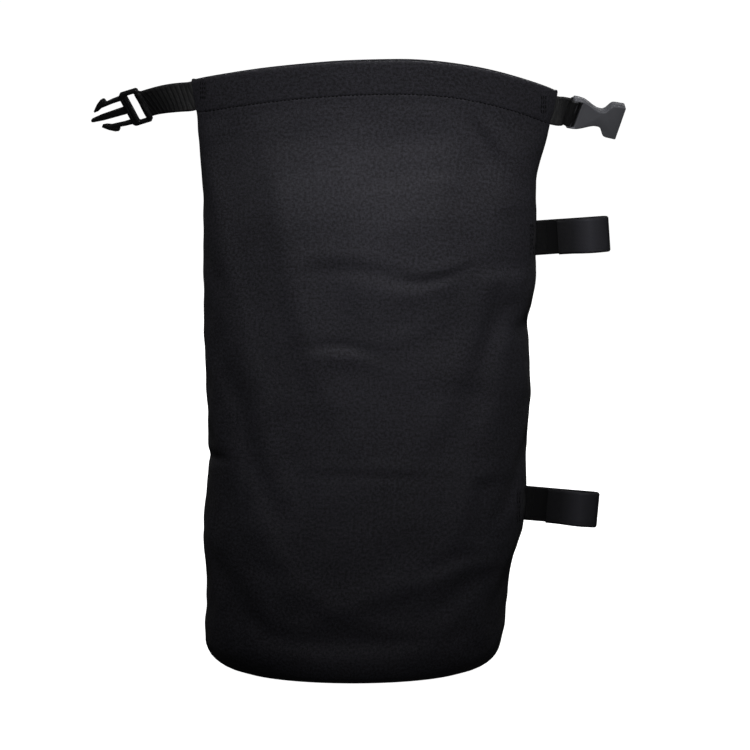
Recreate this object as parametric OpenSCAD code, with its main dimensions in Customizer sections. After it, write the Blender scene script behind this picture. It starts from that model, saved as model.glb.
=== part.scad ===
// Roll-top weight bag: a stuffed fabric sack with a stiffened roll-down
// mouth, a side-release buckle on short webbing at the mouth's two ends, and
// two hook-and-loop side straps that wrap a pole. +Z up, front is -Y, origin
// on the floor under the middle of the base.

/* [Bag body] */
// Width of the body half way up
bag_w = 275; // [240:1:300]
// Depth of the body just above the base
bag_d = 140; // [120:1:160]
// Height of the line where the mouth folds over
fold_h = 462; // [440:1:500]
// Thickness of the coated fabric of the wall
wall_t = 1.4; // [1.2:0.1:1.8]
// Thickness of the base panel
base_t = 1.6; // [1.2:0.1:2.4]

/* [Roll top] */
// Height of the highest point of the mouth above the fold line
top_rise = 68; // [60:1:80]
// How far the mouth's left end dips below its highest point
dip_left = 16; // [8:1:20]
// How far the mouth's right end dips below its highest point
dip_right = 28; // [16:1:30]
// Depth of the hem folded to the inside
hem_h = 29; // [24:1:32]
// Half the depth of the open mouth, outside the cloth
mouth_b = 9; // [8:0.5:12]
// Thickness of the stiffening strip in the hem
stiff_t = 1.0; // [0.8:0.1:1.2]
// Distance between stitches along a hem
stitch_pitch = 3.4; // [3:0.1:6]

/* [Webbing] */
// Width of the buckle webbing
web_w = 25; // [20:1:25]
// Thickness of one layer of webbing
web_t = 1.35; // [1.2:0.05:1.4]

/* [Buckle] */
// Radius of the bar that the webbing turns round
bar_r = 1.75; // [1.6:0.05:1.8]
// Outer width of the plug half's frame
male_w = 33; // [32:0.5:35]
// Thickness of the plug half
male_t = 4.6; // [4:0.1:4.8]
// Length of the plug half from its bar to the tip of the centre guide
male_l = 51; // [48:1:54]
// Width of the socket half at its mouth
female_w = 31.5; // [31:0.5:33]
// Thickness of the socket half
female_t = 9.6; // [9.4:0.1:10.4]
// Length of the socket half past its bar
female_l = 43.6; // [42:0.1:46]

/* [Side straps] */
// Width of a side strap
strap_w = 30; // [25:1:32]
// Thickness of a side strap
strap_t = 1.6; // [1.4:0.1:1.8]
// Space left open inside the strap's fold
fold_gap = 7; // [6.5:0.5:9]
// Reach of the upper strap from the side seam
upper_l = 60.5; // [56:0.5:66]
// Reach of the lower strap from the side seam
lower_l = 63; // [56:0.5:66]
// Thickness of each hook or pile patch
patch_t = 1.2; // [1:0.1:1.4]

/* [Hidden] */

cloth = [0.035, 0.035, 0.042];
tape = [0.02, 0.02, 0.025];
thread = [0.015, 0.015, 0.018];
male_col = [0.018, 0.018, 0.02];
female_col = [0.09, 0.09, 0.095];

sx = bag_w / 275;
sy = bag_d / 140;
sz = fold_h / 462;
top_h = fold_h + top_rise;
peak_x = 40 * sx;
mouth_l = -136 * sx;
mouth_r = 175 * sx;

// The body's outline: left edge, right edge and half depth by height. The
// bag leans a little to the right and narrows front to back as it flattens
// towards the mouth.
LEFT = [[0, -92], [3, -104], [8, -114], [15, -121], [25, -125], [40, -127],
  [70, -126], [130, -127], [170, -125], [200, -122], [240, -124], [300, -125],
  [340, -126], [410, -126], [440, -127], [462, -129], [475, -131], [490, -132],
  [502, -134], [514, -136], [530, -136]];
RIGHT = [[0, 92], [3, 103], [8, 112], [15, 119], [25, 124], [40, 128],
  [70, 132], [100, 137], [130, 146], [170, 149], [240, 150], [300, 151],
  [340, 154], [380, 157], [420, 158], [440, 161], [462, 166], [475, 169],
  [490, 171.5], [502, 175], [530, 175]];
DEPTH = [[0, 58], [3, 62], [8, 65], [15, 67.5], [25, 69], [70, 70], [100, 69],
  [150, 65], [200, 58], [240, 54], [300, 49], [340, 46], [380, 41], [410, 33],
  [440, 20], [462, 12], [480, 10], [500, 9], [530, 9]];

function xl(z) = sx * lookup(z / sz, LEFT);
function xr(z) = sx * lookup(z / sz, RIGHT);
function mid(z) = (xl(z) + xr(z)) / 2;
function half(z) = (xr(z) - xl(z)) / 2;
function dep(z) = z > 480 * sz ? mouth_b + 1 - min(1, (z - 480 * sz) / 20)
                               : sy * lookup(z / sz, DEPTH);
// A point of the wall: p runs from the right side (0) to the left (180), d is
// the depth below the outer face, s is -1 at the front and 1 at the back
function wall(p, z, d, s, gap) =
  [mid(z) + (half(z) - d) * cos(p), s * max(gap, (dep(z) - d) * sin(p)), z];
// Height of the mouth's edge above a place across it
function rim(x) = x < peak_x
  ? top_h - dip_left * pow((peak_x - x) / (peak_x - mouth_l), 2)
  : top_h - dip_right * pow((x - peak_x) / (mouth_r - peak_x), 2);
function rim_at(p) = rim(mid(495 * sz) + half(495 * sz) * cos(p));
// The place round the mouth below a given x
function turn_at(x, z) = acos(min(1, max(-1, (x - mid(z)) / half(z))));

// A closed solid through a row of matching rings of points
module skin(rings) {
  n = len(rings[0]);
  m = len(rings);
  polyhedron(points = [for (r = rings) for (q = r) q],
    faces = concat([[for (i = [n - 1:-1:0]) i]],
      [[for (i = [0:n - 1]) (m - 1) * n + i]],
      [for (j = [0:m - 2]) for (i = [0:n - 1]) let (k = (i + 1) % n)
        each [[j * n + i, j * n + k, (j + 1) * n + k],
              [j * n + i, (j + 1) * n + k, (j + 1) * n + i]]]),
    convexity = 10);
}
// The same for a thin wall: each ring runs along one face and back along the
// other, and the ends are closed by strips from face to face
module wall_skin(rings) {
  n = len(rings[0]);
  m = len(rings);
  e = (m - 1) * n;
  polyhedron(points = [for (r = rings) for (q = r) q],
    faces = concat(
      [for (i = [0:n / 2 - 2]) each [[n - 2 - i, i + 1, i],
                                     [n - 1 - i, n - 2 - i, i]]],
      [for (i = [0:n / 2 - 2]) each [[e + i, e + i + 1, e + n - 2 - i],
                                     [e + i, e + n - 2 - i, e + n - 1 - i]]],
      [for (j = [0:m - 2]) for (i = [0:n - 1]) let (k = (i + 1) % n)
        each [[j * n + i, j * n + k, (j + 1) * n + k],
              [j * n + i, (j + 1) * n + k, (j + 1) * n + i]]]),
    convexity = 10);
}
// The same through rings that come back to the first
module loop_skin(rings) {
  n = len(rings[0]);
  m = len(rings);
  polyhedron(points = [for (r = rings) for (q = r) q],
    faces = [for (j = [0:m - 1]) for (i = [0:n - 1])
      let (k = (i + 1) % n, l = (j + 1) % m)
        each [[j * n + i, j * n + k, l * n + k],
              [j * n + i, l * n + k, l * n + i]]], convexity = 10);
}
function rev(v) = [for (i = [len(v) - 1:-1:0]) v[i]];
function facing(v, s) = s < 0 ? v : rev(v);

// ---- wall panels ----------------------------------------------------------
levels = [0, 3, 8, 15, 25, 40, 70, 100, 130, 165, 200, 240, 280,
  320, 350, 380, 400, 420, 440, 461.2 / sz * sz];
turns = [for (i = [0:38]) 180 * i / 38];

// Depth and lift of the inner face, which bends round into the base
function in_d(z) = wall_t * min(1, 0.3 + z / 14);
function in_h(z) = wall_t * max(0, 1 - z / 22);
function in_wall(p, z, s) = let (q = wall(p, z, in_d(z), s, 0.05))
  [q[0], q[1], z + in_h(z)];

module panel(s) {
  zs = [for (z = levels) min(z * sz, fold_h - 0.8)];
  wall_skin([for (p = facing(turns, s))
    concat([for (z = zs) wall(p, z, 0, s, 0.05)],
           rev([for (z = zs) in_wall(p, z, s)]))]);
}
module front_panel() { color(cloth) panel(-1); }
module back_panel() { color(cloth) panel(1); }

module base_panel() {
  color(cloth) linear_extrude(base_t)
    polygon([for (i = [0:59]) [mid(0) + (half(0) - 0.8) * cos(6 * i),
                               (dep(0) - 0.8) * sin(6 * i)]]);
}

// Binding sewn round the inside of the base seam
module base_seam_tape() {
  color(tape) loop_skin([for (i = [0:47]) let (p = 7.5 * i)
    [for (c = [[8, 0.25], [8, 1.25], [20, 1.25], [20, 0.25]])
      let (z = c[0] * sz, d = in_d(z) + c[1])
      [mid(z) + (half(z) - d) * cos(p), (dep(z) - d) * sin(p), z + in_h(z)]]]);
}

// Binding over the inside of a side seam
module side_tape(e) {
  zs = [30, 70, 100, 130, 165, 200, 240, 280, 320, 350, 380, 400, 420, 436];
  color(tape) skin([for (z0 = e > 0 ? rev(zs) : zs) let (z = z0 * sz)
    concat([for (y = [-7:3.5:7]) tape_pt(e, y, z, wall_t + 0.3)],
           rev([for (y = [-7:3.5:7]) tape_pt(e, y, z, wall_t + 1.3)]))]);
}
function tape_pt(e, y, z, d) =
  [mid(z) + e * (half(z) - d) * sqrt(1 - pow(y / (dep(z) - d), 2)), y, z];
module left_seam_tape() { side_tape(-1); }
module right_seam_tape() { side_tape(1); }

// ---- the top that rolls down ----------------------------------------------
hem_t = 2 * wall_t + stiff_t + 0.3;

module flap(s) {
  skin([for (p = facing(turns, s)) let (r = rim_at(p), h = r - hem_h)
    [for (c = [[0, fold_h + 0.8], [0, h], [0, r - 1], [0.8, r],
               [hem_t - 0.8, r], [hem_t, r - 1], [hem_t, h],
               [hem_t - wall_t, h], [hem_t - wall_t, r - wall_t],
               [wall_t, r - wall_t], [wall_t, h], [wall_t, fold_h + 0.8]])
      wall(p, c[1], c[0], s, 0.1)]]);
}
module front_flap() { color(cloth) flap(-1); }
module back_flap() { color(cloth) flap(1); }

module stiffener(s) {
  color(tape) skin([for (p = facing([for (i = [1:35]) 5 * i], s))
    let (r = rim_at(p), a = wall_t + 0.15)
    [for (c = [[a, r - hem_h + 1], [a, r - wall_t - 0.3],
               [a + stiff_t, r - wall_t - 0.3], [a + stiff_t, r - hem_h + 1]])
      wall(p, c[1], c[0], s, 0.1)]]);
}
module front_stiffener() { stiffener(-1); }
module back_stiffener() { stiffener(1); }

// A row of lock stitches along the lower edge of the hem
module stitch_row(s) {
  x0 = mouth_l + 8;
  n = floor((mouth_r - 12 - x0) / stitch_pitch);
  color(thread) for (i = [0:n]) {
    x = x0 + i * stitch_pitch;
    z = rim(x) - hem_h + 2;
    p = turn_at(x, z);
    q = wall(p, z, 0, s, 0.1);
    b = wall(p + 0.5, z, 0, s, 0.1);
    lean = rim(x + 1) - rim(x);
    translate([x, q[1], z])
      rotate([0, -atan(lean), atan2(b[1] - q[1], b[0] - q[0])])
        cube([0.68 * stitch_pitch, 0.7, 0.6], center = true);
  }
}
module front_hem_stitching() { stitch_row(-1); }
module back_hem_stitching() { stitch_row(1); }

// ---- webbing at the ends of the mouth -------------------------------------
// Where the two bars lie, and how each buckle half hangs from its webbing
web_l0 = [mouth_l - 1.4, 0, 495 * sz];
bar_l = [mouth_l - 41, 8, 487.3 * sz];
turn_l = [-24.6, 18.7, 158.85];
web_r0 = [mouth_r + 0.1, 0, 482.5 * sz];
bar_rt = [mouth_r + 11.7, 2, 481.8 * sz];
turn_rt = [22, 12.65, 13.1];

// Directions of a buckle's length and width after it is turned
function along(t) = [cos(t[1]) * cos(t[2]), cos(t[1]) * sin(t[2]), -sin(t[1])];
function upward(t) = let (c = cos(t[0]), s = sin(t[0]))
  [s * sin(t[2]) + c * sin(t[1]) * cos(t[2]),
   -s * cos(t[2]) + c * sin(t[1]) * sin(t[2]), c * cos(t[1])];
function unit(v) = v / norm(v);

// Doubled webbing from a mouth's end to a bar, turning as it goes
module web_run(root, bar, t, side, reach) {
  a = along(t);
  w = upward(t);
  e = bar - 2.6 * a;
  p0 = root + [side * 0.7, 0, 0];
  p1 = e - reach * a;
  color(tape) union() {
    skin([for (i = side < 0 ? [0:8] : [8:-1:0]) let (u = i / 8,
        c = (1 - u) * (1 - u) * p0 + 2 * u * (1 - u) * p1 + u * u * e,
        d = unit((1 - u) * (p1 - p0) + u * (e - p1)),
        k = u * u * (3 - 2 * u),
        w0 = (1 - k) * [0, 0, 1] + k * w,
        ww = unit(w0 - (w0 * d) * d),
        n = cross(d, ww) * side,
        h = web_t - 0.05)
      [c + ww * web_w / 2 - n * h, c + ww * web_w / 2 + n * h,
       c - ww * web_w / 2 + n * h, c - ww * web_w / 2 - n * h]]);
    translate(bar) rotate(t) difference() {
      cylinder(h = web_w + 0.3, r = bar_r + 0.3 + web_t, center = true,
        $fn = 40);
      cylinder(h = web_w + 2, r = bar_r + 0.3, center = true, $fn = 40);
    }
  }
}
module left_webbing() { web_run(web_l0, bar_l, turn_l, -1, 18); }
module right_webbing() { web_run(web_r0, bar_rt, turn_rt, 1, 3); }

// Upright rows of stitches that hold a sewn end, n stitches high
module tack(x, z, rows, n) {
  color(thread) for (i = [0:rows - 1], j = [0:n - 1]) {
    xx = x + 1.8 * i;
    zz = z + 4 * (j - (n - 1) / 2);
    p = turn_at(xx, zz);
    q = wall(p, zz, 0, -1, 0.1);
    b = wall(p + 0.5, zz, 0, -1, 0.1);
    f = wall(turn_at(xx, zz + 1), zz + 1, 0, -1, 0.1);
    translate([xx, q[1], zz]) rotate([-atan(f[1] - q[1]), 0, 0])
      rotate([0, 0, atan((b[1] - q[1]) / (b[0] - q[0]))])
        cube([0.7, 0.8, 2.8], center = true);
  }
}
module left_webbing_tack() { tack(mouth_l + 8, 501 * sz, 3, 4); }
module right_webbing_tack() { tack(mouth_r - 14, 489 * sz, 3, 4); }

// ---- plug half of the buckle ----------------------------------------------
// In its own place the bar lies along Z and the prongs reach along +X
module plug_frame() {
  difference() {
    rotate([90, 0, 0]) linear_extrude(male_t, center = true)
      polygon([[-1.2, -male_w / 2 + 1.2], [0, -male_w / 2], [15, -male_w / 2],
        [17.2, -male_w / 2 + 2], [17.2, male_w / 2 - 2], [15, male_w / 2],
        [0, male_w / 2], [-1.2, male_w / 2 - 1.2]]);
    translate([(-20 + 10.6) / 2, 0, 0])
      cube([20 + 10.6, 20, web_w + 2], center = true);
  }
  cylinder(h = male_w - 3, r = bar_r, center = true, $fn = 32);
  // centre guide
  rotate([90, 0, 0]) linear_extrude(3.2, center = true)
    polygon([[17, -3.4], [21, -2.3], [male_l - 5, -2.1], [male_l, -0.9],
      [male_l, 0.9], [male_l - 5, 2.1], [21, 2.3], [17, 3.4]]);
}
module male_buckle_frame() {
  color(male_col) translate(bar_l) rotate(turn_l) plug_frame();
}
// A springy arm with a barbed head; e is 1 for the upper one
module prong(e) {
  mirror([0, 0, e > 0 ? 0 : 1]) rotate([90, 0, 0])
    linear_extrude(male_t - 0.4, center = true)
      polygon([[17.5, 10.2], [17.5, 13.6], [24, 13.4], [30, 12.6],
        [30.6, 15.6], [32, 16.2], [35, 15.6], [40, 12.4], [44.5, 8.2],
        [44, 7], [40, 7.4], [36, 9.2], [31, 9.6], [24, 10.2]]);
}
module male_buckle_upper_prong() {
  color(male_col) translate(bar_l) rotate(turn_l) prong(1);
}
module male_buckle_lower_prong() {
  color(male_col) translate(bar_l) rotate(turn_l) prong(-1);
}

// ---- socket half of the buckle --------------------------------------------
module socket_half() {
  waist_r = 15;
  difference() {
    union() {
      translate([-bar_r, -female_t / 2, -15.4])
        cube([female_l - 1 + bar_r, female_t, 30.8]);
      translate([female_l - 4, -female_t / 2, -female_w / 2])
        cube([4, female_t, female_w]);
    }
    // the waist gripped by finger and thumb, open to the prongs' heads
    for (e = [-1, 1]) translate([24.5, 0, e * (6.8 + waist_r)])
      rotate([90, 0, 0])
        cylinder(h = 30, r = waist_r, center = true, $fn = 64);
    // slot behind the bar for the webbing, and room round the loop
    translate([-10, -10, -web_w / 2 - 0.6]) cube([13.8, 20, web_w + 1.2]);
    // cavity for the prongs
    translate([13, -3.1, -12.8]) cube([60, 6.2, 25.6]);
    // relief of the web side's corners
    for (e = [-1, 1]) translate([3, 0, e * 18.6]) rotate([0, e * 20, 0])
      cube([16, 20, 4], center = true);
  }
  cylinder(h = 30, r = bar_r, center = true, $fn = 32);
}
module female_buckle() {
  color(female_col) translate(bar_rt) rotate(turn_rt) socket_half();
}

// ---- side straps ----------------------------------------------------------
upper_tilt = [0, -4, 0];
lower_tilt = [0, 5, 0];
upper_root = [xr(374 * sz) + 2.4, 0, 374 * sz];
lower_root = [xr(144 * sz) + 1.2, 0, 144 * sz];
fold_r = fold_gap / 2 + strap_t;
fold_y = -strap_t / 2 - fold_gap / 2;
tail_y = fold_y - fold_r;
tail_l = 41;
tail_lean = 5.6;

// Half of the bend at a strap's far end, split at its furthest point
module half_bend(reach, s) {
  translate([reach - fold_r, fold_y]) intersection() {
    difference() {
      circle(r = fold_r, $fn = 48);
      circle(r = fold_gap / 2, $fn = 48);
    }
    translate([0, s > 0 ? 0.15 : -20]) square([20, 19.85]);
  }
}
// Sewn layer and the first half of the bend
module strap_layer(reach) {
  color(tape) linear_extrude(strap_w, center = true) union() {
    translate([0.6, -strap_t / 2]) square([reach - fold_r - 0.5, strap_t]);
    half_bend(reach, 1);
  }
}
module strap_patch_pile() {
  color(cloth) translate([7, -strap_t / 2 - patch_t, -strap_w / 2 + 1])
    cube([24, patch_t, strap_w - 2]);
}
module in_tail(reach) {
  translate([reach - fold_r, tail_y, 0]) rotate([0, 0, -tail_lean])
    children();
}
// Second half of the bend and the end that lies back on the sewn layer
module strap_end(reach) {
  color(tape) linear_extrude(strap_w, center = true) union() {
    half_bend(reach, -1);
    translate([reach - fold_r, tail_y]) rotate(-tail_lean)
      translate([-tail_l, 0]) square([tail_l + 0.1, strap_t]);
  }
}
module strap_patch_hook(reach) {
  color(tape) in_tail(reach)
    translate([-tail_l + 1, strap_t, -strap_w / 2 + 1])
      cube([20, patch_t, strap_w - 2]);
}
module upper_strap() {
  translate(upper_root) rotate(upper_tilt) strap_layer(upper_l);
}
module upper_strap_pile() {
  translate(upper_root) rotate(upper_tilt) strap_patch_pile();
}
module upper_strap_tail() {
  translate(upper_root) rotate(upper_tilt) strap_end(upper_l);
}
module upper_strap_hook() {
  translate(upper_root) rotate(upper_tilt) strap_patch_hook(upper_l);
}
module upper_strap_tack() {
  tack(upper_root[0] - 7, upper_root[2], 2, 7);
}
module lower_strap() {
  translate(lower_root) rotate(lower_tilt) strap_layer(lower_l);
}
module lower_strap_pile() {
  translate(lower_root) rotate(lower_tilt) strap_patch_pile();
}
module lower_strap_tail() {
  translate(lower_root) rotate(lower_tilt) strap_end(lower_l);
}
module lower_strap_hook() {
  translate(lower_root) rotate(lower_tilt) strap_patch_hook(lower_l);
}
module lower_strap_tack() {
  tack(lower_root[0] - 7, lower_root[2], 2, 7);
}

front_panel();
back_panel();
base_panel();
base_seam_tape();
left_seam_tape();
right_seam_tape();
front_flap();
back_flap();
front_stiffener();
back_stiffener();
front_hem_stitching();
back_hem_stitching();
left_webbing();
left_webbing_tack();
male_buckle_frame();
male_buckle_upper_prong();
male_buckle_lower_prong();
right_webbing();
right_webbing_tack();
female_buckle();
upper_strap();
upper_strap_pile();
upper_strap_tail();
upper_strap_hook();
upper_strap_tack();
lower_strap();
lower_strap_pile();
lower_strap_tail();
lower_strap_hook();
lower_strap_tack();
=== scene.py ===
import math
import bpy
import numpy as np
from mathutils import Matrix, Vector


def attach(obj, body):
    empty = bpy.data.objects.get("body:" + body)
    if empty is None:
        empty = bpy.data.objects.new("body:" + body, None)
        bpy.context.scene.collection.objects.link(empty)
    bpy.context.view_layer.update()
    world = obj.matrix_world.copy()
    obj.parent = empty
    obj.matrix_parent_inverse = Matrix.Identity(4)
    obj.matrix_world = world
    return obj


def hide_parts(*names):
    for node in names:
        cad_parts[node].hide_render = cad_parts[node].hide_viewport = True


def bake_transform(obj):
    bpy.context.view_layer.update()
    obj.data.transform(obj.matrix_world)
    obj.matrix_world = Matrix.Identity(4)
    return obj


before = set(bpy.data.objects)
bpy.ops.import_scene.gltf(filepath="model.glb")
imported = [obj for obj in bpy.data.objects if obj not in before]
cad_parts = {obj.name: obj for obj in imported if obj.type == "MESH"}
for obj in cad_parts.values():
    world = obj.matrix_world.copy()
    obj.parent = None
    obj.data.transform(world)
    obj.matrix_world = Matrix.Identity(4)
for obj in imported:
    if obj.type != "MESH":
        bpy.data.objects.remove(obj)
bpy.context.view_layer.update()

MM = 0.001
RNG = np.random.default_rng(7)

# ---------------------------------------------------------------- camera
CAM_AT = Vector((0.0197, 0.0, 0.2552))
CAM_EL = math.radians(10.0)
CAM_DIST = 6.0


def make_camera():
    cam = bpy.data.cameras.new("camera")
    cam.sensor_width = 36.0
    cam.lens = 36.0 * CAM_DIST / (750 / 1.17 * MM)
    cam.clip_end = 50
    ob = bpy.data.objects.new("camera", cam)
    bpy.context.scene.collection.objects.link(ob)
    ob.location = CAM_AT + Vector((0, -math.cos(CAM_EL), math.sin(CAM_EL))) * CAM_DIST
    ob.rotation_euler = (math.radians(90) - CAM_EL, 0, 0)
    bpy.context.scene.camera = ob
    return ob


make_camera()


# ---------------------------------------------------------------- materials
class Nodes:
    """A short way to write a material's node tree."""

    def __init__(self, name):
        self.mat = bpy.data.materials.new(name)
        self.mat.use_nodes = True
        self.t = self.mat.node_tree
        self.bsdf = self.t.nodes["Principled BSDF"]

    def add(self, kind, **kw):
        n = self.t.nodes.new(kind)
        for k, v in kw.items():
            setattr(n, k, v)
        return n

    def put(self, socket, value):
        if value is None:
            return
        if isinstance(value, bpy.types.NodeSocket):
            self.t.links.new(value, socket)
        else:
            socket.default_value = value

    def math(self, op, a, b=None, c=None, clamp=False):
        n = self.add("ShaderNodeMath", operation=op, use_clamp=clamp)
        for i, v in enumerate((a, b, c)):
            self.put(n.inputs[i], v)
        return n.outputs[0]

    def vmath(self, op, a, b=None):
        n = self.add("ShaderNodeVectorMath", operation=op)
        self.put(n.inputs[0], a)
        self.put(n.inputs[1], b)
        return n.outputs[0]

    def noise(self, vec, scale, detail=3.0, rough=0.55, distortion=0.0):
        n = self.add("ShaderNodeTexNoise")
        self.put(n.inputs["Vector"], vec)
        n.inputs["Scale"].default_value = scale
        n.inputs["Detail"].default_value = detail
        n.inputs["Roughness"].default_value = rough
        n.inputs["Distortion"].default_value = distortion
        return n.outputs["Fac"]

    def ramp(self, fac, stops):
        n = self.add("ShaderNodeValToRGB")
        e = n.color_ramp.elements
        while len(e) > len(stops):
            e.remove(e[-1])
        while len(e) < len(stops):
            e.new(0.5)
        for el, (p, c) in zip(e, stops):
            el.position = p
            el.color = (*c, 1) if len(c) == 3 else c
        self.put(n.inputs[0], fac)
        return n.outputs[0]

    def span(self, fac, a0, a1, b0, b1):
        n = self.add("ShaderNodeMapRange")
        self.put(n.inputs["Value"], fac)
        for k, v in zip(("From Min", "From Max", "To Min", "To Max"), (a0, a1, b0, b1)):
            n.inputs[k].default_value = v
        return n.outputs[0]

    def mix(self, fac, a, b, blend="MIX"):
        n = self.add("ShaderNodeMix", data_type="RGBA", blend_type=blend)
        self.put(n.inputs[0], fac)
        for s, v in ((n.inputs[6], a), (n.inputs[7], b)):
            self.put(s, v if isinstance(v, bpy.types.NodeSocket) else (*v, 1))
        return n.outputs[2]

    def bump(self, height, strength, distance, normal=None):
        n = self.add("ShaderNodeBump")
        self.put(n.inputs["Height"], height)
        n.inputs["Strength"].default_value = strength
        n.inputs["Distance"].default_value = distance
        if normal is not None:
            self.put(n.inputs["Normal"], normal)
        return n.outputs[0]

    def uv(self):
        return self.add("ShaderNodeUVMap", uv_map="weave").outputs[0]

    def split(self, vec):
        n = self.add("ShaderNodeSeparateXYZ")
        self.put(n.inputs[0], vec)
        return n.outputs

    def object(self):
        return self.add("ShaderNodeTexCoord").outputs["Object"]


def plain_weave(m, u, v, pitch):
    """Height of a plain weave of round threads, u and v in metres."""
    k = math.pi / pitch
    su = m.math("SINE", m.math("MULTIPLY", u, k))
    sv = m.math("SINE", m.math("MULTIPLY", v, k))
    over = m.math("GREATER_THAN", m.math("MULTIPLY", su, sv), 0.0)
    au = m.math("ABSOLUTE", su)
    av = m.math("ABSOLUTE", sv)
    # a thread on top is round across and dips where it goes under
    top = m.math("MULTIPLY", m.math("POWER", au, 0.6), m.math("ADD", 0.55, m.math("MULTIPLY", av, 0.45)))
    side = m.math("MULTIPLY", m.math("POWER", av, 0.6), m.math("ADD", 0.55, m.math("MULTIPLY", au, 0.45)))
    return m.math("ADD", m.math("MULTIPLY", over, top),
                  m.math("MULTIPLY", m.math("SUBTRACT", 1.0, over), side)), over


def cloth_material(name, dark, light, pitch=0.0009, rough=0.62, sheen=0.12, spec=0.3, edge=None):
    m = Nodes(name)
    b = m.bsdf
    uv = m.uv()
    x, y, _ = m.split(uv)
    # the threads wander a little
    wob = m.noise(uv, 55.0, 2.0)
    x2 = m.math("ADD", x, m.math("MULTIPLY", m.math("SUBTRACT", wob, 0.5), 0.0012))
    y2 = m.math("ADD", y, m.math("MULTIPLY", m.math("SUBTRACT", m.noise(uv, 48.0, 2.0), 0.5), 0.0012))
    h, over = plain_weave(m, x2, y2, pitch)
    big = m.noise(uv, 9.0, 4.0, 0.6)
    mid_ = m.noise(uv, 430.0, 3.0, 0.7)
    fine = m.noise(uv, 1100.0, 2.0, 0.6)
    slub = m.noise(m.vmath("MULTIPLY", uv, (14.0, 420.0, 1.0)), 6.0, 2.0)
    fac = m.math("ADD", m.math("MULTIPLY", big, 0.12), m.math("MULTIPLY", mid_, 0.55))
    fac = m.math("ADD", fac, m.math("MULTIPLY", slub, 0.08))
    fac = m.math("ADD", fac, m.math("MULTIPLY", fine, 0.25))
    col = m.mix(m.span(fac, 0.42, 0.59, 0.0, 1.0), dark, light)
    # painted shade: the colour is pulled towards a third of the dark tone where the threads dip, in the hollows of the
    # weave
    col = m.mix(m.span(h, 0.0, 0.9, 0.55, 0.0), col, (dark[0] * 0.35, dark[1] * 0.35, dark[2] * 0.35))
    m.put(b.inputs["Base Color"], col)
    r = m.span(m.math("ADD", m.math("MULTIPLY", mid_, 0.5), m.math("MULTIPLY", h, 0.35)), 0.2, 0.8,
               rough + 0.1, rough - 0.08)
    m.put(b.inputs["Roughness"], r)
    n1 = m.bump(m.math("ADD", mid_, m.math("MULTIPLY", m.noise(uv, 170.0, 3.0, 0.6), 0.8)), 0.5, 0.0006)
    n2 = m.bump(h, 0.55, 0.00022, n1)
    m.put(b.inputs["Normal"], n2)
    b.inputs["Specular IOR Level"].default_value = spec
    b.inputs["Sheen Weight"].default_value = sheen
    b.inputs["Sheen Roughness"].default_value = 0.45
    return m.mat


def webbing_material(name, dark, light, rib=0.0038, rough=0.5, spec=0.3, painted_highlight=None):
    """Narrow woven tape: u runs along it, v across it."""
    m = Nodes(name)
    b = m.bsdf
    uv = m.uv()
    x, y, _ = m.split(uv)
    k = math.pi / 0.0011
    # fine warp ends along the tape, each crossed by the picks
    warp = m.math("POWER", m.math("ABSOLUTE", m.math("SINE", m.math("MULTIPLY", y, k))), 0.6)
    lean = m.math("ADD", x, m.math("MULTIPLY", y, 0.25))
    pick = m.math("ABSOLUTE", m.math("SINE", m.math("MULTIPLY", lean, math.pi / (rib / 2))))
    h = m.math("MULTIPLY", warp, m.math("ADD", 0.45, m.math("MULTIPLY", pick, 0.55)))
    mid_ = m.noise(uv, 300.0, 3.0, 0.6)
    big = m.noise(uv, 40.0, 2.0, 0.6)
    col = m.mix(m.math("ADD", m.math("MULTIPLY", mid_, 0.6), m.math("MULTIPLY", big, 0.4)), dark, light)
    # painted shade: the colour is pulled towards a third of the dark tone where the weave is low, in the grooves
    # between its threads
    col = m.mix(m.span(h, 0.0, 0.8, 0.65, 0.0), col, (dark[0] * 0.3, dark[1] * 0.3, dark[2] * 0.3))
    if painted_highlight:
        # painted highlight: the tape's colour is made paler in a band a little way from the bend and darker towards the
        # tape's end, standing in for light falling on the strap's bulge
        lo, peak, hi, gain = painted_highlight
        highlight_mask = m.ramp(m.span(x, lo, hi, 0.0, 1.0), [(0.0, (0.25,) * 3), ((peak - lo) / (hi - lo), (1.0,) * 3), (0.78, (0.2,) * 3), (1.0, (0.08,) * 3)])
        highlight_mask = m.split(highlight_mask)[0]
        col = m.mix(highlight_mask, col, tuple(min(1, c * gain) for c in light))
    m.put(b.inputs["Base Color"], col)
    m.put(b.inputs["Roughness"], m.span(h, 0.0, 1.0, rough + 0.2, rough))
    m.put(b.inputs["Normal"], m.bump(h, 0.6, 0.0003, m.bump(mid_, 0.2, 0.0002)))
    b.inputs["Specular IOR Level"].default_value = spec
    b.inputs["Sheen Weight"].default_value = 0.03
    b.inputs["Sheen Roughness"].default_value = 0.4
    return m.mat


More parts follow.
